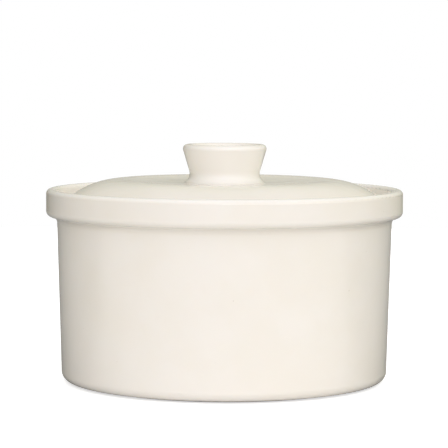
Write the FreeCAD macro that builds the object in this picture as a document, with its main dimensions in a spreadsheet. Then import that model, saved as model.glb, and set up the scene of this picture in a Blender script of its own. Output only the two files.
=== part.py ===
"""Lidded porcelain casserole: a straight-sided pot, a low domed lid and the dished knob luted onto it.

Frame: +Z up, origin at the centre of the foot ring, on the table. All sizes are in millimetres.
Every piece is a turned body, so each one is an outline in its own XZ plane, revolved about Z.
"""
import FreeCAD, Part
import math
import os

import Sketcher

SHEET_NAME = "Dimensions"

# Driving dimensions: alias, value, what it is.
DRIVING = (
    # pot, from the table up
    ("foot_outer_radius", 85.5, "outer radius of the foot ring"),
    ("foot_inner_radius", 79.0, "inner radius of the foot ring"),
    ("foot_recess", 2.4, "height of the underside inside the foot ring"),
    ("foot_step", 1.2, "height of the underside outside the foot ring"),
    ("foot_edge_rounding", 0.6, "rounding of the foot ring's two lower edges"),
    ("wall_bottom_radius", 95.9, "outer wall radius, carried down to the underside"),
    ("wall_top_radius", 98.7, "outer wall radius where it meets the collar"),
    ("base_rounding", 5.4, "rounding between underside and wall"),
    ("collar_bottom", 97.9, "height of the collar's lower face"),
    ("collar_radius", 105.0, "outer radius of the collar"),
    ("collar_cove", 3.9, "hollow rounding under the collar"),
    ("collar_lower_rounding", 3.2, "rounding of the collar's lower edge"),
    ("rim_top", 113.8, "height of the pot's rim"),
    ("rim_outer_rounding", 2.6, "outer rounding of the rim"),
    ("rim_inner_rounding", 2.3, "inner rounding of the rim"),
    ("gallery_radius", 99.3, "inner radius of the collar, around the lid"),
    ("ledge_height", 99.0, "height of the ledge that carries the lid"),
    ("ledge_corner", 1.0, "hollow rounding at the back of the ledge"),
    ("ledge_edge_rounding", 1.5, "rounding of the ledge's inner edge"),
    ("inside_top_radius", 92.6, "inner wall radius at the ledge"),
    ("inside_bottom_radius", 90.3, "inner wall radius, carried down to the floor"),
    ("floor_height", 7.9, "height of the pot's inner floor"),
    ("floor_rounding", 14.0, "hollow rounding between floor and inner wall"),
    # lid
    ("lid_thickness", 5.0, "thickness of the lid's shell"),
    ("lid_radius", 98.2, "outer radius of the lid"),
    ("seat_inner_radius", 93.6, "inner radius of the lid's seat ring"),
    ("pad_radius", 24.0, "radius of the flat pad under the knob"),
    ("pad_height", 117.3, "height of that pad above the table"),
    ("crown_ring_radius", 62.0, "radius of the circle where the lid is highest"),
    ("crown_height", 119.3, "height of that circle above the table"),
    ("crown_radius", 47.0, "radius of curvature of the crown and shoulder"),
    ("shoulder_slope", 30.5, "slope of the lid near its edge, in degrees"),
    ("lid_edge_rounding", 2.2, "rounding of the lid's upper edge"),
    ("seat_outer_rounding", 1.2, "rounding of the seat ring's outer edge"),
    ("seat_inner_rounding", 0.8, "rounding of the seat ring's inner edge"),
    ("seat_hollow", 2.5, "hollow rounding between seat ring and dome"),
    # knob
    ("knob_top", 140.1, "height of the knob's rim above the table"),
    ("knob_foot_radius", 23.4, "radius of the knob's foot"),
    ("knob_foot_edge", 0.8, "height of the upright edge around that foot"),
    ("knob_flare_radius", 5.6, "radius of the hollow flare above the foot"),
    ("knob_corner_radius", 25.5, "radius of the cone, carried up to the knob's top"),
    ("knob_taper", 16.4, "half angle of the knob's cone, in degrees"),
    ("knob_mouth_radius", 19.6, "radius of the dish's mouth, carried up to the top"),
    ("knob_dish_radius", 17.4, "radius of the dish, carried down to its floor"),
    ("knob_dish_floor", 127.6, "height of the dish's floor above the table"),
    ("knob_dish_rounding", 7.5, "hollow rounding at the bottom of the dish"),
    ("knob_rim_outer_rounding", 2.6, "outer rounding of the knob's rim"),
    ("knob_rim_inner_rounding", 2.0, "inner rounding of the knob's rim"),
    ("knob_foot_rounding", 0.5, "rounding of the edge above the knob's foot"),
)

ON_AXIS = None
ON_TABLE = None

HORIZONTAL_AXIS = -1
VERTICAL_AXIS = -2
START = 1
END = 2
CENTRE = 3


def make_sheet(doc):
    """The spreadsheet that holds every driving dimension under its alias."""
    sheet = doc.addObject("Spreadsheet::Sheet", SHEET_NAME)
    for row, (alias, value, meaning) in enumerate(DRIVING, start=1):
        sheet.set("A%d" % row, meaning)
        sheet.set("B%d" % row, str(value))
        sheet.setAlias("B%d" % row, alias)
    doc.recompute()
    return sheet


def new_body(doc, label):
    """An empty body whose label names its file."""
    body = doc.addObject("PartDesign::Body", label)
    body.Label = label
    body.Placement = FreeCAD.Placement()
    return body


def new_sketch(body, name):
    """A sketch on the body's own XZ plane: sketch X is the radius, sketch Y is the height."""
    sketch = body.newObject("Sketcher::SketchObject", name)
    plane = [item for item in body.Origin.OriginFeatures if item.Role == "XZ_Plane"][0]
    sketch.AttachmentSupport = [(plane, "")]
    sketch.MapMode = "FlatFace"
    return sketch


def bind(sketch, kind, *arguments):
    """Add a driving constraint whose value comes from an expression, the last argument."""
    expression = arguments[-1]
    index = sketch.addConstraint(Sketcher.Constraint(kind, *arguments[:-1]))
    sketch.setExpression("Constraints[%d]" % index, expression)


def place_point(sketch, sheet, element, end, radius, height):
    """Hold one end of an element at a radius and a height, each an alias of the sheet."""
    if radius is ON_AXIS:
        sketch.addConstraint(Sketcher.Constraint("PointOnObject", element, end, VERTICAL_AXIS))
    else:
        bind(sketch, "DistanceX", HORIZONTAL_AXIS, START, element, end, sheet.get(radius),
             "%s.%s" % (SHEET_NAME, radius))
    if height is ON_TABLE:
        sketch.addConstraint(Sketcher.Constraint("PointOnObject", element, end, HORIZONTAL_AXIS))
    else:
        bind(sketch, "DistanceY", HORIZONTAL_AXIS, START, element, end, sheet.get(height),
             "%s.%s" % (SHEET_NAME, height))


def close_chain(sketch, elements):
    """Join the end of each element to the start of the next, and the last to the first."""
    for element, following in zip(elements, elements[1:] + elements[:1]):
        sketch.addConstraint(Sketcher.Constraint("Coincident", element, END, following, START))


def vector(radius, height):
    """A point of a sketch."""
    return FreeCAD.Vector(radius, height, 0)


def add_line(sketch, start, end):
    """A straight stretch of an outline."""
    return sketch.addGeometry(Part.LineSegment(start, end), False)


def revolve(body, sketch):
    """Turn an outline about the body's vertical axis."""
    turned = body.newObject("PartDesign::Revolution", "Turned")
    turned.Profile = sketch
    turned.ReferenceAxis = (sketch, ["V_Axis"])
    turned.Angle = 360.0
    sketch.Visibility = False
    body.Document.recompute()


def circle_edges(feature, radius, height):
    """Names of the full-circle edges of this radius at this height."""
    names = []
    for number, edge in enumerate(feature.Shape.Edges, start=1):
        curve = edge.Curve
        if isinstance(curve, Part.Circle) and abs(curve.Radius - radius) < 0.001:
            if abs(curve.Center.z - height) < 0.001:
                names.append("Edge%d" % number)
    return names


def round_edge(body, sheet, corner, rounding):
    """Round the circular edge at a corner, given as its radius and height in numbers."""
    base = body.Tip
    names = circle_edges(base, *corner)
    if len(names) != 1:
        raise RuntimeError("%s: no single edge for %s" % (body.Label, rounding))
    fillet = body.newObject("PartDesign::Fillet", "Rounding")
    fillet.Base = (base, names)
    fillet.Radius = sheet.get(rounding)
    fillet.setExpression("Radius", "%s.%s" % (SHEET_NAME, rounding))
    body.Tip = fillet
    body.Document.recompute()


def build_pot(doc, sheet):
    """The pot: foot ring, tapered wall, collar, and the ledge inside it that carries the lid."""
    body = new_body(doc, "pot")
    sketch = new_sketch(body, "PotOutline")
    # Corner: radius, height, rounding. The outline starts on the axis and runs outside first.
    corners = (
        (ON_AXIS, "foot_recess", None),
        ("foot_inner_radius", "foot_recess", None),
        ("foot_inner_radius", ON_TABLE, "foot_edge_rounding"),
        ("foot_outer_radius", ON_TABLE, "foot_edge_rounding"),
        ("foot_outer_radius", "foot_step", None),
        ("wall_bottom_radius", "foot_step", "base_rounding"),
        ("wall_top_radius", "collar_bottom", "collar_cove"),
        ("collar_radius", "collar_bottom", "collar_lower_rounding"),
        ("collar_radius", "rim_top", "rim_outer_rounding"),
        ("gallery_radius", "rim_top", "rim_inner_rounding"),
        ("gallery_radius", "ledge_height", "ledge_corner"),
        ("inside_top_radius", "ledge_height", "ledge_edge_rounding"),
        ("inside_bottom_radius", "floor_height", "floor_rounding"),
        (ON_AXIS, "floor_height", None),
    )
    points = []
    for radius, height, _ in corners:
        points.append((sheet.get(radius) if radius else 0.0, sheet.get(height) if height else 0.0))
    elements = []
    for start, end in zip(points, points[1:] + points[:1]):
        elements.append(add_line(sketch, vector(*start), vector(*end)))
    close_chain(sketch, elements)
    for element, (radius, height, _) in zip(elements, corners):
        place_point(sketch, sheet, element, START, radius, height)
    revolve(body, sketch)
    for point, (_, _, rounding) in zip(points, corners):
        if rounding:
            round_edge(body, sheet, point, rounding)
    return body


def build_lid(doc, sheet):
    """The lid: flat pad, shallow dip around it, crown, sloping shoulder and seat ring."""
    body = new_body(doc, "lid_dome")
    sketch = new_sketch(body, "LidOutline")
    value = sheet.get
    thickness = value("lid_thickness")
    slope = math.radians(value("shoulder_slope"))
    crown_centre = vector(value("crown_ring_radius"), value("crown_height") - value("crown_radius"))

    # The dip's circle stands above the pad and touches the crown's circle from outside.
    reach = value("crown_ring_radius") - value("pad_radius")
    rise = value("crown_height") - value("pad_height")
    dip_radius = (reach ** 2 + rise ** 2) / (2 * rise) - value("crown_radius")
    dip_centre = vector(value("pad_radius"), value("pad_height") + dip_radius)
    lean = math.atan2(crown_centre.x - dip_centre.x, dip_centre.y - crown_centre.y)

    def add_arc(centre, radius, first_angle, last_angle):
        circle = Part.Circle(centre, FreeCAD.Vector(0, 0, 1), radius)
        return sketch.addGeometry(Part.ArcOfCircle(circle, first_angle, last_angle), False)

    def end_of(element, end):
        return sketch.getPoint(element, end)

    quarter = math.pi / 2
    pad = add_line(sketch, vector(0, value("pad_height")), vector(value("pad_radius"), value("pad_height")))
    dip = add_arc(dip_centre, dip_radius, -quarter, -quarter + lean)
    crown = add_arc(crown_centre, value("crown_radius"), quarter - slope, quarter + lean)
    shoulder_start = end_of(crown, START)
    edge_drop = (value("lid_radius") - shoulder_start.x) * math.tan(slope)
    edge_top = vector(value("lid_radius"), shoulder_start.y - edge_drop)
    edge_bottom = vector(value("lid_radius"), value("ledge_height"))
    shoulder = add_line(sketch, shoulder_start, edge_top)
    edge = add_line(sketch, edge_top, edge_bottom)
    seat_inner = vector(value("seat_inner_radius"), value("ledge_height"))
    seat = add_line(sketch, edge_bottom, seat_inner)
    under_crown = add_arc(crown_centre, value("crown_radius") - thickness, quarter - slope, quarter + lean)
    under_shoulder_start = end_of(under_crown, START)
    under_drop = (value("seat_inner_radius") - under_shoulder_start.x) * math.tan(slope)
    seat_top = vector(value("seat_inner_radius"), under_shoulder_start.y - under_drop)
    seat_wall = add_line(sketch, seat_inner, seat_top)
    under_shoulder = add_line(sketch, seat_top, under_shoulder_start)
    under_dip = add_arc(dip_centre, dip_radius + thickness, -quarter, -quarter + lean)
    under_height = value("pad_height") - thickness
    under_pad = add_line(sketch, vector(value("pad_radius"), under_height), vector(0, under_height))
    axis = add_line(sketch, vector(0, under_height), vector(0, value("pad_height")))

    def join(first, first_end, second, second_end, smooth):
        kind = "Tangent" if smooth else "Coincident"
        sketch.addConstraint(Sketcher.Constraint(kind, first, first_end, second, second_end))

    join(pad, END, dip, START, True)
    join(dip, END, crown, END, True)
    join(crown, START, shoulder, START, True)
    join(shoulder, END, edge, START, False)
    join(edge, END, seat, START, False)
    join(seat, END, seat_wall, START, False)
    join(seat_wall, END, under_shoulder, START, False)
    join(under_shoulder, END, under_crown, START, True)
    join(under_crown, END, under_dip, END, True)
    join(under_dip, START, under_pad, START, True)
    join(under_pad, END, axis, START, False)
    join(axis, END, pad, START, False)
    sketch.addConstraint(Sketcher.Constraint("Coincident", crown, CENTRE, under_crown, CENTRE))
    sketch.addConstraint(Sketcher.Constraint("Coincident", dip, CENTRE, under_dip, CENTRE))
    sketch.addConstraint(Sketcher.Constraint("Horizontal", seat))
    sketch.addConstraint(Sketcher.Constraint("Vertical", edge))
    sketch.addConstraint(Sketcher.Constraint("Vertical", seat_wall))
    sketch.addConstraint(Sketcher.Constraint("Horizontal", pad))
    sketch.addConstraint(Sketcher.Constraint("Horizontal", under_pad))
    sketch.addConstraint(Sketcher.Constraint("Parallel", shoulder, under_shoulder))
    sketch.addConstraint(Sketcher.Constraint("PointOnObject", pad, START, VERTICAL_AXIS))
    sketch.addConstraint(Sketcher.Constraint("PointOnObject", under_pad, END, VERTICAL_AXIS))

    def hold(kind, element, end, number, expression):
        bind(sketch, kind, HORIZONTAL_AXIS, START, element, end, number, expression)

    hold("DistanceX", pad, END, value("pad_radius"), "Dimensions.pad_radius")
    hold("DistanceY", pad, END, value("pad_height"), "Dimensions.pad_height")
    hold("DistanceX", crown, CENTRE, crown_centre.x, "Dimensions.crown_ring_radius")
    hold("DistanceY", crown, CENTRE, crown_centre.y, "Dimensions.crown_height - Dimensions.crown_radius")
    hold("DistanceX", edge, END, value("lid_radius"), "Dimensions.lid_radius")
    hold("DistanceY", edge, END, value("ledge_height"), "Dimensions.ledge_height")
    hold("DistanceX", seat, END, value("seat_inner_radius"), "Dimensions.seat_inner_radius")
    bind(sketch, "Radius", crown, value("crown_radius"), "Dimensions.crown_radius")
    bind(sketch, "Radius", under_crown, value("crown_radius") - thickness,
         "Dimensions.crown_radius - Dimensions.lid_thickness")
    bind(sketch, "Angle", shoulder, -slope, "-Dimensions.shoulder_slope * 1 deg")

    revolve(body, sketch)
    roundings = (
        (edge_top, "lid_edge_rounding"),
        (edge_bottom, "seat_outer_rounding"),
        (seat_inner, "seat_inner_rounding"),
        (seat_top, "seat_hollow"),
    )
    for corner, rounding in roundings:
        round_edge(body, sheet, (corner.x, corner.y), rounding)
    return body


def build_knob(doc, sheet):
    """The knob: a flared foot, a cone that widens upwards and a dish in its top."""
    body = new_body(doc, "lid_knob")
    sketch = new_sketch(body, "KnobOutline")
    value = sheet.get
    taper = math.radians(value("knob_taper"))
    flare_radius = value("knob_flare_radius")
    top_corner = vector(value("knob_corner_radius"), value("knob_top"))
    foot_corner = vector(value("knob_foot_radius"), value("pad_height"))
    flare_start = vector(value("knob_foot_radius"), value("pad_height") + value("knob_foot_edge"))

    # The flare's centre lies outside the cone, one flare radius from it and from the foot's edge.
    along = vector(math.sin(taper), math.cos(taper))
    outward = vector(math.cos(taper), -math.sin(taper))
    offset = flare_start - top_corner - outward * flare_radius
    across = offset.dot(outward)
    step = offset.dot(along) + math.sqrt(flare_radius ** 2 - across ** 2)
    flare_centre = top_corner + outward * flare_radius + along * step
    waist = flare_centre - outward * flare_radius
    to_foot = flare_start - flare_centre
    first_angle = math.pi - taper
    last_angle = math.atan2(to_foot.y, to_foot.x) + 2 * math.pi

    foot = add_line(sketch, vector(0, value("pad_height")), foot_corner)
    foot_edge = add_line(sketch, foot_corner, flare_start)
    circle = Part.Circle(flare_centre, FreeCAD.Vector(0, 0, 1), flare_radius)
    flare = sketch.addGeometry(Part.ArcOfCircle(circle, first_angle, last_angle), False)
    cone = add_line(sketch, waist, top_corner)
    mouth = vector(value("knob_mouth_radius"), value("knob_top"))
    dish_corner = vector(value("knob_dish_radius"), value("knob_dish_floor"))
    dish_middle = vector(0, value("knob_dish_floor"))
    top = add_line(sketch, top_corner, mouth)
    dish_wall = add_line(sketch, mouth, dish_corner)
    dish_floor = add_line(sketch, dish_corner, dish_middle)
    axis = add_line(sketch, dish_middle, vector(0, value("pad_height")))

    joins = (
        ("Coincident", foot, END, foot_edge, START),
        ("Coincident", foot_edge, END, flare, END),
        ("Tangent", flare, START, cone, START),
        ("Coincident", cone, END, top, START),
        ("Coincident", top, END, dish_wall, START),
        ("Coincident", dish_wall, END, dish_floor, START),
        ("Coincident", dish_floor, END, axis, START),
        ("Coincident", axis, END, foot, START),
    )
    for join in joins:
        sketch.addConstraint(Sketcher.Constraint(*join))
    place_point(sketch, sheet, foot, START, ON_AXIS, "pad_height")
    place_point(sketch, sheet, foot, END, "knob_foot_radius", "pad_height")
    place_point(sketch, sheet, cone, END, "knob_corner_radius", "knob_top")
    place_point(sketch, sheet, top, END, "knob_mouth_radius", "knob_top")
    place_point(sketch, sheet, dish_wall, END, "knob_dish_radius", "knob_dish_floor")
    place_point(sketch, sheet, dish_floor, END, ON_AXIS, "knob_dish_floor")
    sketch.addConstraint(Sketcher.Constraint("Vertical", foot_edge))
    bind(sketch, "DistanceY", foot_edge, START, foot_edge, END, value("knob_foot_edge"),
         "Dimensions.knob_foot_edge")
    bind(sketch, "Radius", flare, flare_radius, "Dimensions.knob_flare_radius")
    bind(sketch, "Angle", cone, math.pi / 2 - taper, "90 deg - Dimensions.knob_taper * 1 deg")

    revolve(body, sketch)
    roundings = (
        (top_corner, "knob_rim_outer_rounding"),
        (mouth, "knob_rim_inner_rounding"),
        (dish_corner, "knob_dish_rounding"),
        (flare_start, "knob_foot_rounding"),
    )
    for corner, rounding in roundings:
        round_edge(body, sheet, (corner.x, corner.y), rounding)
    return body


def check(doc, bodies):
    """Stop if any object failed to recompute or any piece is not one valid solid."""
    for item in doc.Objects:
        if "Invalid" in item.State or "Error" in item.State:
            raise RuntimeError("%s did not recompute: %s" % (item.Label, item.State))
    for body in bodies:
        shape = body.Shape
        if shape.isNull() or not shape.isValid() or len(shape.Solids) != 1:
            raise RuntimeError("%s is not one valid solid" % body.Label)


def main():
    os.makedirs("parts", exist_ok=True)
    doc = FreeCAD.newDocument("casserole")
    sheet = make_sheet(doc)
    pot = build_pot(doc, sheet)
    lid = build_lid(doc, sheet)
    knob = build_knob(doc, sheet)
    bodies = (pot, lid, knob)
    doc.recompute()
    check(doc, bodies)
    for body in bodies:
        body.Shape.exportStep("parts/%s.step" % body.Label)
        box = body.Shape.optimalBoundingBox()
        print("%s: %.1f cm3, z %.2f to %.2f, radius %.2f"
              % (body.Label, body.Shape.Volume / 1000, box.ZMin, box.ZMax, box.XMax))


main()
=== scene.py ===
"""Looks for the lidded porcelain casserole: glaze, bare clay, table, studio light and camera.

Everything is in metres in the frame's own axes: +Z up, origin at the centre of the foot ring, on
the table. The three CAD nodes keep their shapes. This script gives them their ivory glaze, with
bare clay on the foot ring and on the lid's seat. It adds the beads of glaze that build up where
the glaze ends above bare clay, and the fillet of glaze where the knob is luted to the lid.
"""
import math

import bmesh
import bpy
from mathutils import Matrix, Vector, noise


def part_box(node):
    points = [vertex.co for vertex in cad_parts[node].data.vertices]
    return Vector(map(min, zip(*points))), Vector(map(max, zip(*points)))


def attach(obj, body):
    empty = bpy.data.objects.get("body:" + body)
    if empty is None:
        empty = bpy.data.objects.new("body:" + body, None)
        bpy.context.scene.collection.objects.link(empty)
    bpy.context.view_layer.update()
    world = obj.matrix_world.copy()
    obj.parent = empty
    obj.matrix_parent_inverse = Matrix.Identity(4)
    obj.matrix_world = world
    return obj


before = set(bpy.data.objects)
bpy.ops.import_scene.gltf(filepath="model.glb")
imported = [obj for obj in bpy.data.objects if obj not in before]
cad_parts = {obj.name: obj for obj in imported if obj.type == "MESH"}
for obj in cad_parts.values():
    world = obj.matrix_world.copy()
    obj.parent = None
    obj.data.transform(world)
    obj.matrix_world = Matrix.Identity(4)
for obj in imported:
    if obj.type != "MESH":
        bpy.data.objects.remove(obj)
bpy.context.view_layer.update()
scene = bpy.context.scene

MM = 0.001


def radius_between(node_name, low, high):
    """Smallest and largest distance from the axis of a node's vertices between two heights."""
    radii = []
    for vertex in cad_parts[node_name].data.vertices:
        if low <= vertex.co.z <= high:
            radii.append(math.hypot(vertex.co.x, vertex.co.y))
    return min(radii), max(radii)


# Places on the ware, read from the frame.
RIM_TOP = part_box("pot")[1].z
LID_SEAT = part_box("lid_dome")[0].z
PAD_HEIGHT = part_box("lid_knob")[0].z
KNOB_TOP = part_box("lid_knob")[1].z
KNOB_FOOT = radius_between("lid_knob", PAD_HEIGHT - 0.1 * MM, PAD_HEIGHT + 0.1 * MM)[1]
FOOT_INNER, FOOT_OUTER = radius_between("pot", 0.5 * MM, 0.7 * MM)
SEAT_INNER, SEAT_OUTER = radius_between("lid_dome", LID_SEAT + 0.7 * MM, LID_SEAT + 2.1 * MM)

# Heights at which the glaze ends, above the foot ring's face and the lid's seat.
FOOT_GLAZE_LINE = 0.95 * MM
SEAT_GLAZE_LINE = LID_SEAT + 1.3 * MM

# Camera: a long lens 1.3 m away, a little above the knob and tipped slightly down. The lens and
# the sensor are in millimetres.
CAMERA_PLACE = (-0.64 * MM, -1.3, 0.1898)
CAMERA_PITCH = math.radians(4.261)
CAMERA_ROLL = math.radians(0.225)
LENS_LENGTH = 177.3
SENSOR_WIDTH = 36.0

# Light tent: broad soft lights, each with an azimuth and an elevation in degrees (azimuth 0 is
# the camera's side, positive to its right), a sharpness (larger is narrower), a strength and a
# colour.
NEUTRAL = (1.00, 1.00, 1.00)
COOL = (0.96, 0.98, 1.20)
WARM = (1.00, 0.98, 0.78)
KEY_TINT = (1.00, 0.97, 1.06)
FILL_TINT = (0.98, 1.00, 1.06)
TENT_LIGHTS = (
    (4, 20, 8, 1.58, KEY_TINT),     # key
    (45, 30, 6, 1.04, FILL_TINT),   # front right
    (-45, 30, 6, 1.00, NEUTRAL),    # front left
    (90, 25, 6, 0.92, WARM),        # right side
    (-90, 25, 6, 0.46, WARM),       # left side
    (180, 35, 6, 0.72, WARM),       # back
    (140, 10, 8, 0.35, WARM),       # back right
    (0, 85, 7, 0.76, COOL),         # top
    (180, 4, 60, 0.16, NEUTRAL),    # narrow, low behind the ware
)

# Table: the camera sees it all white and glowing, so that it merges with the white paper behind
# it. The light that it throws back comes from the part in front of the ware: along Y it fades
# from white at the first place to dark at the second.
WHITE = (1.0, 1.0, 1.0, 1.0)
TABLE_RADIUS = 1.20
TABLE_SEGMENTS = 128
TABLE_WHITE = (0.90, 0.90, 0.90, 1.0)
TABLE_SHADED = (0.25, 0.25, 0.25, 1.0)
TABLE_FADE = (-0.11, 0.0)
TABLE_ROUGHNESS = 0.7
TABLE_GLOW = 0.62

# Clay and glaze colours, as linear red, green and blue.
GLAZE_IVORY = (0.873, 0.825, 0.738, 1.0)
# Pooled glaze, also used as painted shade in the crease under the collar.
GLAZE_POOLED_AND_SHADE = (0.835, 0.778, 0.664, 1.0)
# Thin glaze; also a painted highlight on the rim, and painted light on the gallery wall and knob
# sides.
GLAZE_THIN_AND_PAINTED_LIGHT = (0.912, 0.880, 0.806, 1.0)
BARE_CLAY = (0.640, 0.575, 0.480, 1.0)
IRON_SPECK = (0.300, 0.190, 0.100, 1.0)

# How far each effect carries the colour towards its own, from 0 to 1.
CLOUD_AMOUNT = 0.38
GRAIN_AMOUNT = 0.10
POOL_AND_SHADE_AMOUNT = 0.45
THIN_AND_PAINTED_LIGHT_AMOUNT = 0.8
SPECK_AMOUNT = 0.6
SAND_AMOUNT = 0.35

# Noise: lumps per metre.
CLOUD_SCALE = 28.0
GRAIN_SCALE = 420.0
RUBBED_SCALE = 60.0
RING_SCALE = 340.0
WAVE_SCALE = 120.0
RIPPLE_SCALE = 520.0
SAND_SCALE = 1500.0

# Noise values between which an effect comes in.
CLOUD_RANGE = (0.36, 0.66)
RUBBED_RANGE = (0.30, 0.75)
SAND_RANGE = (0.40, 0.62)

# Dots: spacing, radius and the share of the cells that hold one. A dot is full to DOT_CORE of its
# radius and gone at DOT_EDGE of it.
SPECKS = (5.0 * MM, 0.26 * MM, 0.12)
PINHOLES = (4.0 * MM, 0.18 * MM, 0.25)
DOT_CORE = 0.5
DOT_EDGE = 1.2

# Relief depths.
RING_DEPTH = 0.010 * MM
WAVE_DEPTH = 0.045 * MM
RIPPLE_DEPTH = 0.004 * MM
PINHOLE_DEPTH = 0.05 * MM
PINHOLE_STRENGTH = 0.6
SAND_DEPTH = 0.06 * MM

# Surface of the glaze, and what bare clay adds to its roughness.
GLOSS_ROUGHNESS = (0.13, 0.21)
CLAY_ROUGHNESS = 0.6
COAT_WEIGHT = 0.35
COAT_ROUGHNESS = 0.06
GLAZE_IOR = 1.52
SUBSURFACE_WEIGHT = 0.10
SUBSURFACE_RADIUS = (1.0, 0.75, 0.50)
SUBSURFACE_SCALE = 1.5 * MM

# Beads of glaze at the foot and at the seat: half the height up the wall, and half the thickness.
# Fillet round the knob's foot: width and rise, its upright lip, and how deep its root goes into
# the ware.
FOOT_BEAD = (0.22 * MM, 0.16 * MM)
SEAT_BEAD = (0.40 * MM, 0.18 * MM)
FILLET = (1.0 * MM, 0.55 * MM)
FILLET_LIP = 0.06 * MM
FILLET_ROOT = 0.3 * MM

# Facets: round the axis, round a bead and along the fillet's curve.
RING_STEPS = 360
BEAD_STEPS = 16
FILLET_STEPS = 8

# Unevenness of the beads: scales of its broad and fine waves, the share of the fine ones, their
# place in the noise beyond the broad ones, and how much the beads and the fillet vary.
BROAD_WAVES = 2.2
FINE_WAVES = 9.0
FINE_SHARE = 0.4
FINE_SHIFT = 0.5
BEAD_WOBBLE = 0.35
FILLET_WOBBLE = 0.08


def node(tree, kind, **values):
    """A shader node with its properties set."""
    made = tree.nodes.new(kind)
    for name, value in values.items():
        setattr(made, name, value)
    return made


def connect(tree, source, target):
    """Link an output to an input, or set the input if the source is a plain value."""
    if isinstance(source, bpy.types.NodeSocket):
        tree.links.new(source, target)
    else:
        target.default_value = source


def compute(tree, operation, first, second=0.0):
    """The result of a Math node."""
    made = node(tree, "ShaderNodeMath", operation=operation)
    connect(tree, first, made.inputs[0])
    connect(tree, second, made.inputs[1])
    return made.outputs["Value"]


def fade(tree, value, start, end, low=0.0, high=1.0):
    """A smooth step from low to high as the value goes from start to end."""
    made = node(tree, "ShaderNodeMapRange", interpolation_type="SMOOTHSTEP")
    connect(tree, value, made.inputs["Value"])
    limits = {"From Min": start, "From Max": end, "To Min": low, "To Max": high}
    for name, number in limits.items():
        made.inputs[name].default_value = number
    return made.outputs["Result"]


def band(tree, value, centre, half_width, softness):
    """One inside a band of values and zero outside, with soft borders."""
    distance = compute(tree, "ABSOLUTE", compute(tree, "SUBTRACT", value, centre))
    return fade(tree, distance, half_width, half_width + softness, 1.0, 0.0)


def blend_colours(tree, amount, first, second):
    """The first colour turning into the second as the amount goes from 0 to 1."""
    made = node(tree, "ShaderNodeMix", data_type="RGBA")
    connect(tree, amount, made.inputs["Factor"])
    colours = [socket for socket in made.inputs if socket.type == "RGBA"]
    connect(tree, first, colours[0])
    connect(tree, second, colours[1])
    return [socket for socket in made.outputs if socket.type == "RGBA"][0]


def cloud(tree, vector, scale, detail=2.0, roughness=0.5):
    """Smooth noise between 0 and 1."""
    made = node(tree, "ShaderNodeTexNoise", noise_dimensions="3D")
    connect(tree, vector, made.inputs["Vector"])
    made.inputs["Scale"].default_value = scale
    made.inputs["Detail"].default_value = detail
    made.inputs["Roughness"].default_value = roughness
    return made.outputs["Fac"]


def dots(tree, vector, spacing, radius, share):
    """Small round dots: one in each cell of about this spacing, in this share of the cells."""
    made = node(tree, "ShaderNodeTexVoronoi", voronoi_dimensions="3D", feature="F1")
    connect(tree, vector, made.inputs["Vector"])
    made.inputs["Scale"].default_value = 1.0 / spacing
    size = radius / spacing
    dot = fade(tree, made.outputs["Distance"], DOT_CORE * size, DOT_EDGE * size, 1.0, 0.0)
    pick = node(tree, "ShaderNodeSeparateColor")
    connect(tree, made.outputs["Color"], pick.inputs["Color"])
    kept = compute(tree, "LESS_THAN", pick.outputs["Red"], share)
    return compute(tree, "MULTIPLY", dot, kept)


def bump(tree, height, depth, strength=1.0, base=None):
    """A bump whose heights run from 0 to depth, over a base normal if there is one."""
    made = node(tree, "ShaderNodeBump")
    made.inputs["Strength"].default_value = strength
    made.inputs["Distance"].default_value = depth
    connect(tree, height, made.inputs["Height"])
    if base:
        connect(tree, base, made.inputs["Normal"])
    return made.outputs["Normal"]


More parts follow.
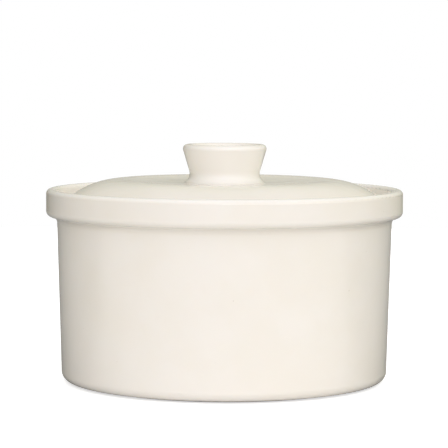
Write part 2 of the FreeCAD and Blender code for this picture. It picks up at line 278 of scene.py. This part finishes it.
def make_glaze(name, pools, thin, bare):
    """Ivory gloss glaze over white clay.

    pools are zones where the glaze runs together and is deeper; in the crease under the collar
    this deeper colour is also painted shade. thin are zones made paler: thin glaze that is also a
    painted highlight on the rim, and painted light on the gallery wall and the knob's sides. bare
    are zones without glaze. A zone is a height, half the zone's own height, its least and its most
    radius, and the softness of its borders.
    """
    material = bpy.data.materials.new(name)
    material.use_nodes = True
    tree = material.node_tree
    shader = tree.nodes["Principled BSDF"]

    place = node(tree, "ShaderNodeTexCoord").outputs["Object"]
    split = node(tree, "ShaderNodeSeparateXYZ")
    connect(tree, place, split.inputs["Vector"])
    height = split.outputs["Z"]
    square_x = compute(tree, "POWER", split.outputs["X"], 2.0)
    square_y = compute(tree, "POWER", split.outputs["Y"], 2.0)
    radius = compute(tree, "SQRT", compute(tree, "ADD", square_x, square_y))

    def mask(centre, half_height, least, most, softness):
        inside = band(tree, height, centre, half_height, softness)
        around = band(tree, radius, (least + most) / 2, (most - least) / 2, softness)
        return compute(tree, "MULTIPLY", inside, around)

    # Colour: a faint cloudiness, deeper where the glaze pools (also painted shade in the crease
    # under the collar), paler where it is thin (also a painted highlight on the rim, and painted
    # light on the gallery wall and the knob's sides), and a few iron specks.
    clouds = fade(tree, cloud(tree, place, CLOUD_SCALE, detail=3.0), *CLOUD_RANGE)
    grain = cloud(tree, place, GRAIN_SCALE)
    mottle = compute(tree, "ADD", compute(tree, "MULTIPLY", clouds, CLOUD_AMOUNT),
                     compute(tree, "MULTIPLY", grain, GRAIN_AMOUNT))
    colour = blend_colours(tree, mottle, GLAZE_IVORY, GLAZE_POOLED_AND_SHADE)
    # Deeper colour in pooled zones; in the crease under the collar it is painted shade as well.
    for zone in pools:
        pooled_and_shaded = compute(tree, "MULTIPLY", mask(*zone), POOL_AND_SHADE_AMOUNT)
        colour = blend_colours(tree, pooled_and_shaded, colour, GLAZE_POOLED_AND_SHADE)
    # Paler colour in thin zones: also a painted highlight on the rim, and painted light on the
    # gallery wall and knob sides.
    for zone in thin:
        thinned_and_lit = compute(tree, "MULTIPLY", mask(*zone), THIN_AND_PAINTED_LIGHT_AMOUNT)
        colour = blend_colours(tree, thinned_and_lit, colour, GLAZE_THIN_AND_PAINTED_LIGHT)
    specks = compute(tree, "MULTIPLY", dots(tree, place, *SPECKS), SPECK_AMOUNT)
    colour = blend_colours(tree, specks, colour, IRON_SPECK)

    # Gloss: slightly uneven, with faint rubbed patches.
    rubbed = cloud(tree, place, RUBBED_SCALE, detail=4.0, roughness=0.6)
    gloss = fade(tree, rubbed, *RUBBED_RANGE, *GLOSS_ROUGHNESS)
    coat = COAT_WEIGHT

    # Relief: the soft waviness of melted glaze, faint turning rings under it, and sparse pinholes.
    profile = node(tree, "ShaderNodeCombineXYZ")
    connect(tree, radius, profile.inputs["X"])
    connect(tree, height, profile.inputs["Z"])
    rings = cloud(tree, profile.outputs["Vector"], RING_SCALE)
    waves = cloud(tree, place, WAVE_SCALE, detail=1.0)
    ripples = cloud(tree, place, RIPPLE_SCALE, detail=1.0)
    unpitted = compute(tree, "SUBTRACT", 1.0, dots(tree, place, *PINHOLES))
    normal = bump(tree, rings, RING_DEPTH)
    normal = bump(tree, waves, WAVE_DEPTH, base=normal)
    normal = bump(tree, ripples, RIPPLE_DEPTH, base=normal)
    normal = bump(tree, unpitted, PINHOLE_DEPTH, strength=PINHOLE_STRENGTH, base=normal)

    # Bare clay: darker, matt and sandy, without the glaze's coat.
    if bare:
        clay = mask(*bare[0])
        for zone in bare[1:]:
            clay = compute(tree, "MAXIMUM", clay, mask(*zone))
        sand = cloud(tree, place, SAND_SCALE, detail=4.0, roughness=0.7)
        speckled = fade(tree, sand, *SAND_RANGE, 0.0, SAND_AMOUNT)
        clay_colour = blend_colours(tree, speckled, BARE_CLAY, GLAZE_THIN_AND_PAINTED_LIGHT)
        colour = blend_colours(tree, clay, colour, clay_colour)
        gloss = compute(tree, "ADD", gloss, compute(tree, "MULTIPLY", clay, CLAY_ROUGHNESS))
        glazed = compute(tree, "SUBTRACT", 1.0, clay)
        coat = compute(tree, "MULTIPLY", glazed, COAT_WEIGHT)
        sandy = compute(tree, "MULTIPLY", clay, sand)
        normal = bump(tree, sandy, SAND_DEPTH, base=normal)

    connect(tree, colour, shader.inputs["Base Color"])
    connect(tree, gloss, shader.inputs["Roughness"])
    connect(tree, normal, shader.inputs["Normal"])
    connect(tree, coat, shader.inputs["Coat Weight"])
    shader.inputs["Coat Roughness"].default_value = COAT_ROUGHNESS
    shader.inputs["IOR"].default_value = GLAZE_IOR
    shader.inputs["Subsurface Weight"].default_value = SUBSURFACE_WEIGHT
    shader.inputs["Subsurface Radius"].default_value = SUBSURFACE_RADIUS
    shader.inputs["Subsurface Scale"].default_value = SUBSURFACE_SCALE
    return material


def lathe(name, outline, wobble):
    """A closed ring: a loop of (radius, height) points turned about the axis.

    outline(scale) gives the points, and wobble(angle) the scale at each angle.
    """
    mesh = bpy.data.meshes.new(name)
    shape = bmesh.new()
    loops = []
    for step in range(RING_STEPS):
        angle = 2 * math.pi * step / RING_STEPS
        loop = []
        for radius, height in outline(wobble(angle)):
            corner = (radius * math.cos(angle), radius * math.sin(angle), height)
            loop.append(shape.verts.new(corner))
        loops.append(loop)
    count = len(loops[0])
    for step, loop in enumerate(loops):
        following = loops[(step + 1) % RING_STEPS]
        for index in range(count):
            after = (index + 1) % count
            shape.faces.new((loop[index], following[index], following[after], loop[after]))
    bmesh.ops.recalc_face_normals(shape, faces=shape.faces)
    for face in shape.faces:
        face.smooth = True
    shape.to_mesh(mesh)
    shape.free()
    piece = bpy.data.objects.new(name, mesh)
    scene.collection.objects.link(piece)
    return piece


def uneven(seed, amount):
    """A smooth closed wobble about 1, the same each run, that differs from ring to ring."""
    def wave(angle, scale, shift):
        return noise.noise(Vector((scale * math.cos(angle), scale * math.sin(angle), shift)))

    def wobble(angle):
        broad = wave(angle, BROAD_WAVES, seed)
        fine = wave(angle, FINE_WAVES, seed + FINE_SHIFT)
        return 1.0 + amount * (broad + FINE_SHARE * fine)
    return wobble


def round_bead(radius, height, half_height, half_thickness):
    """Outline of a bead of glaze: an ellipse on a wall, half sunk into it."""
    def outline(scale):
        points = []
        for step in range(BEAD_STEPS):
            angle = 2 * math.pi * step / BEAD_STEPS
            points.append((radius + half_thickness * scale * math.cos(angle),
                           height + half_height * scale * math.sin(angle)))
        return points
    return outline


def hollow_fillet(radius, height, width, rise):
    """Outline of a hollow corner fillet between an upright wall at radius and the face below."""
    def outline(scale):
        bottom = height - FILLET_ROOT
        back = radius - FILLET_ROOT
        points = [(back, bottom), (back, height + FILLET_LIP + rise * scale)]
        for step in range(FILLET_STEPS + 1):
            angle = 0.5 * math.pi * step / FILLET_STEPS
            points.append((radius + width * scale * (1 - math.cos(angle)),
                           height + FILLET_LIP + rise * scale * (1 - math.sin(angle))))
        points.append((radius + width * scale, bottom))
        return points
    return outline


def add_bead(name, body, outline, wobble, material):
    """A ring of glaze that rides on a body."""
    piece = lathe(name, outline, wobble)
    piece.data.materials.append(material)
    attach(piece, body)


def dress_nodes():
    """Give each CAD node its glaze and add the beads."""
    # Zones: height, half height, least and most radius, softness.
    # Crease under the collar: deeper colour for pooled glaze that is also painted shade.
    collar_crease_pool_and_shade = (RIM_TOP - 17.5 * MM, 1.5 * MM, 96.0 * MM, 101.0 * MM, 2.0 * MM)
    floor_corner = (12.0 * MM, 3.0 * MM, 80.0 * MM, 88.0 * MM, 6.0 * MM)
    # Rim: paler colour for glaze thinning on the edge, which is also a painted highlight.
    rim_thin_and_highlight = (RIM_TOP, 0.5 * MM, 95.0 * MM, 106.0 * MM, 1.6 * MM)
    # Gallery wall inside the rim: paler colour as painted light, lifting the shade on that wall.
    gallery_painted_light = (RIM_TOP - 6.0 * MM, 6.0 * MM, 98.5 * MM, 99.7 * MM, 0.8 * MM)
    foot = (0.0, 0.7 * MM, FOOT_INNER - 1.0 * MM, FOOT_OUTER + 1.0 * MM, 0.25 * MM)
    lid_dip = (PAD_HEIGHT, 0.1 * MM, 23.0 * MM, 26.0 * MM, 2.0 * MM)
    seat = (LID_SEAT, 0.9 * MM, SEAT_INNER - 1.0 * MM, SEAT_OUTER + 1.0 * MM, 0.25 * MM)
    knob_crease = (PAD_HEIGHT + 1.4 * MM, 0.3 * MM, 21.0 * MM, 24.0 * MM, 0.8 * MM)
    knob_dish = (KNOB_TOP - 11.5 * MM, 1.5 * MM, 0.0, 14.0 * MM, 3.0 * MM)
    # Knob's sides: paler colour as painted light, lifting their shade.
    knob_side_painted_light = ((PAD_HEIGHT + KNOB_TOP) / 2, 9.5 * MM, 18.0 * MM, 26.0 * MM, 2.0 * MM)
    glazes = {
        "pot": make_glaze("pot_glaze", [collar_crease_pool_and_shade, floor_corner], [rim_thin_and_highlight, gallery_painted_light], [foot]),
        "lid_dome": make_glaze("lid_glaze", [lid_dip], [], [seat]),
        "lid_knob": make_glaze("knob_glaze", [knob_crease, knob_dish], [knob_side_painted_light], []),
    }
    for name, glaze in glazes.items():
        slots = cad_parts[name].data.materials
        slots.clear()
        slots.append(glaze)

    bead = make_glaze("bead_glaze", [], [], [])
    for side, radius, seed in (("outer", FOOT_OUTER, 1), ("inner", FOOT_INNER, 2)):
        edge = round_bead(radius, FOOT_GLAZE_LINE, *FOOT_BEAD)
        add_bead("foot_glaze_edge_" + side, "pot", edge, uneven(seed, BEAD_WOBBLE), bead)
    for side, radius, seed in (("outer", SEAT_OUTER, 3), ("inner", SEAT_INNER, 4)):
        edge = round_bead(radius, SEAT_GLAZE_LINE, *SEAT_BEAD)
        add_bead("seat_glaze_edge_" + side, "lid", edge, uneven(seed, BEAD_WOBBLE), bead)
    fillet = hollow_fillet(KNOB_FOOT, PAD_HEIGHT, *FILLET)
    add_bead("knob_luting_fillet", "lid", fillet, uneven(5, FILLET_WOBBLE), bead)


def direction(azimuth, elevation):
    """Unit vector towards a light."""
    turn = math.radians(azimuth)
    rise = math.radians(elevation)
    level = math.cos(rise)
    return Vector((math.sin(turn) * level, -math.cos(turn) * level, math.sin(rise)))


def make_world():
    """A light tent of broad soft lights, which the camera sees as plain white paper.

    Each light is brightest in its own direction and falls off smoothly away from it, as the
    exponential of its sharpness times (the cosine of the angle between them, less one).
    """
    world = bpy.data.worlds.new("studio")
    world.use_nodes = True
    tree = world.node_tree
    tree.nodes.clear()
    towards = node(tree, "ShaderNodeTexCoord").outputs["Generated"]
    total = (0.0, 0.0, 0.0)
    for azimuth, elevation, sharpness, strength, colour in TENT_LIGHTS:
        facing = node(tree, "ShaderNodeVectorMath", operation="DOT_PRODUCT")
        connect(tree, towards, facing.inputs[0])
        facing.inputs[1].default_value = direction(azimuth, elevation)
        off = compute(tree, "SUBTRACT", facing.outputs["Value"], 1.0)
        lobe = compute(tree, "EXPONENT", compute(tree, "MULTIPLY", off, float(sharpness)))
        spread = node(tree, "ShaderNodeVectorMath", operation="SCALE")
        spread.inputs[0].default_value = [strength * part for part in colour]
        connect(tree, lobe, spread.inputs["Scale"])
        gather = node(tree, "ShaderNodeVectorMath", operation="ADD")
        connect(tree, total, gather.inputs[0])
        connect(tree, spread.outputs["Vector"], gather.inputs[1])
        total = gather.outputs["Vector"]
    tent = node(tree, "ShaderNodeBackground")
    connect(tree, total, tent.inputs["Color"])
    paper = node(tree, "ShaderNodeBackground")
    paper.inputs["Color"].default_value = WHITE
    choose = node(tree, "ShaderNodeMixShader")
    seen = node(tree, "ShaderNodeLightPath").outputs["Is Camera Ray"]
    connect(tree, seen, choose.inputs["Fac"])
    connect(tree, tent.outputs["Background"], choose.inputs[1])
    connect(tree, paper.outputs["Background"], choose.inputs[2])
    output = node(tree, "ShaderNodeOutputWorld")
    connect(tree, choose.outputs["Shader"], output.inputs["Surface"])
    scene.world = world


def make_table():
    """A round table, overexposed for the camera so that it merges with the paper behind it."""
    mesh = bpy.data.meshes.new("table")
    shape = bmesh.new()
    bmesh.ops.create_circle(shape, cap_ends=True, segments=TABLE_SEGMENTS, radius=TABLE_RADIUS)
    shape.to_mesh(mesh)
    shape.free()
    table = bpy.data.objects.new("table", mesh)
    scene.collection.objects.link(table)
    material = bpy.data.materials.new("table_white")
    material.use_nodes = True
    tree = material.node_tree
    shader = tree.nodes["Principled BSDF"]
    shader.inputs["Roughness"].default_value = TABLE_ROUGHNESS
    shader.inputs["Emission Color"].default_value = WHITE
    split = node(tree, "ShaderNodeSeparateXYZ")
    place = node(tree, "ShaderNodeTexCoord").outputs["Object"]
    connect(tree, place, split.inputs["Vector"])
    shade = fade(tree, split.outputs["Y"], *TABLE_FADE)
    cast = blend_colours(tree, shade, TABLE_WHITE, TABLE_SHADED)
    seen = node(tree, "ShaderNodeLightPath").outputs["Is Camera Ray"]
    colour = blend_colours(tree, seen, cast, TABLE_WHITE)
    connect(tree, colour, shader.inputs["Base Color"])
    glow = compute(tree, "MULTIPLY", seen, TABLE_GLOW)
    connect(tree, glow, shader.inputs["Emission Strength"])
    mesh.materials.append(material)


def make_camera():
    """The camera, without depth of field."""
    data = bpy.data.cameras.new("camera")
    data.lens = LENS_LENGTH
    data.sensor_width = SENSOR_WIDTH
    camera = bpy.data.objects.new("camera", data)
    camera.location = CAMERA_PLACE
    camera.rotation_euler = (math.pi / 2 - CAMERA_PITCH, -CAMERA_ROLL, 0.0)
    scene.collection.objects.link(camera)
    scene.camera = camera


scene.view_settings.view_transform = "Standard"
make_camera()
make_world()
make_table()
dress_nodes()
